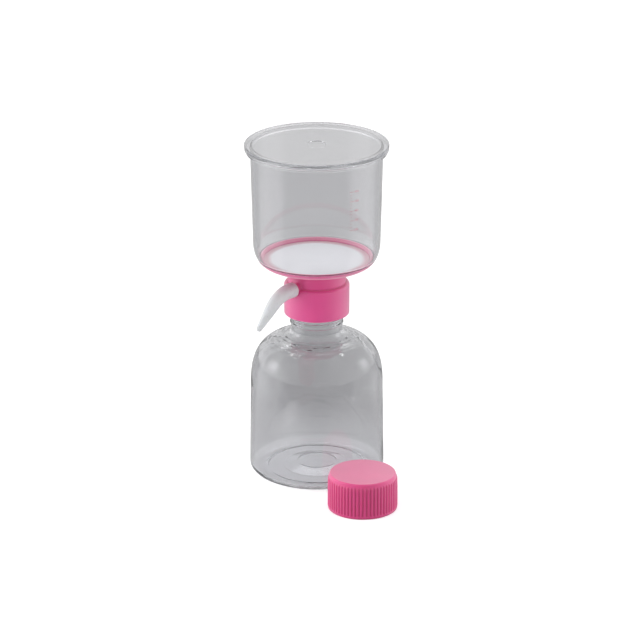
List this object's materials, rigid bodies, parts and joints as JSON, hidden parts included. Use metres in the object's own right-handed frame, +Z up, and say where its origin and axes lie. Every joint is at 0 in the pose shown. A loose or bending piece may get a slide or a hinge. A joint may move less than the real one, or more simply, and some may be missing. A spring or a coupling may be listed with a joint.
{
  "type": "vacuum filtration unit",
  "caption": "Clear funnel with lid on a pink screw-on filter base with a curved vacuum hose nozzle, over a clear receiver bottle, with the bottle's ribbed storage cap beside it.",
  "frame": {"origin": "centre of the receiver bottle's foot ring, on the surface that it stands on", "axes": "+Z up along the bottle's and funnel's common axis, -Y to the front, +X to the right; the vacuum port points to the front left, 42 degrees from -Y, and the loose cap stands to the front right"},
  "size_m": [0.1188, 0.1618, 0.2702],
  "materials": {
    "clear_bottle": "clear blow-moulded polystyrene, glossy",
    "clear_funnel": "clear moulded polystyrene, glossy",
    "clear_lid": "clear moulded polystyrene, glossy",
    "pink_base": "magenta-pink moulded plastic, satin gloss",
    "pink_cap": "magenta-pink moulded polyethylene, satin",
    "natural_plastic": "natural translucent polypropylene, satin",
    "membrane": "matt white filter membrane",
    "fibre": "packed white fibre",
    "gasket": "translucent silicone"
  },
  "bodies": {
    "bottle": {"receiver_bottle": "clear_bottle"},
    "gasket": {"neck_gasket": "gasket"},
    "head": {"filter_base": "pink_base", "filter_membrane": "membrane", "funnel": "clear_funnel", "port_filter_plug": "fibre"},
    "lid": {"funnel_lid": "clear_lid"},
    "nozzle": {"hose_nozzle": "natural_plastic"},
    "cap": {"storage_cap": "pink_cap"}
  },
  "joints": [
    {"name": "gasket_lift", "type": "slide", "parent": "bottle", "child": "gasket", "axis": [0, 0, 1], "range_m": [0, 0.008]},
    {"name": "head_screw", "type": "hinge", "parent": "gasket", "child": "head", "pos_m": [0, 0, 0.1545], "axis": [0, 0, 1], "range_deg": [0, 720]},
    {"name": "lid_lift", "type": "slide", "parent": "head", "child": "lid", "axis": [0, 0, 1], "range_m": [0, 0.06]},
    {"name": "nozzle_turn", "type": "hinge", "parent": "head", "child": "nozzle", "pos_m": [-0.02007, -0.02229, 0.1576], "axis": [-0.6691, -0.7431, 0], "continuous": true},
    {"name": "cap_lift", "type": "slide", "parent": "bottle", "child": "cap", "axis": [0, 0, 1], "range_m": [0, 0.2]}
  ],
  "couplings": [
    {"joint": "gasket_lift", "follows": "head_screw", "m_per_rad": 0.00063661}
  ]
}
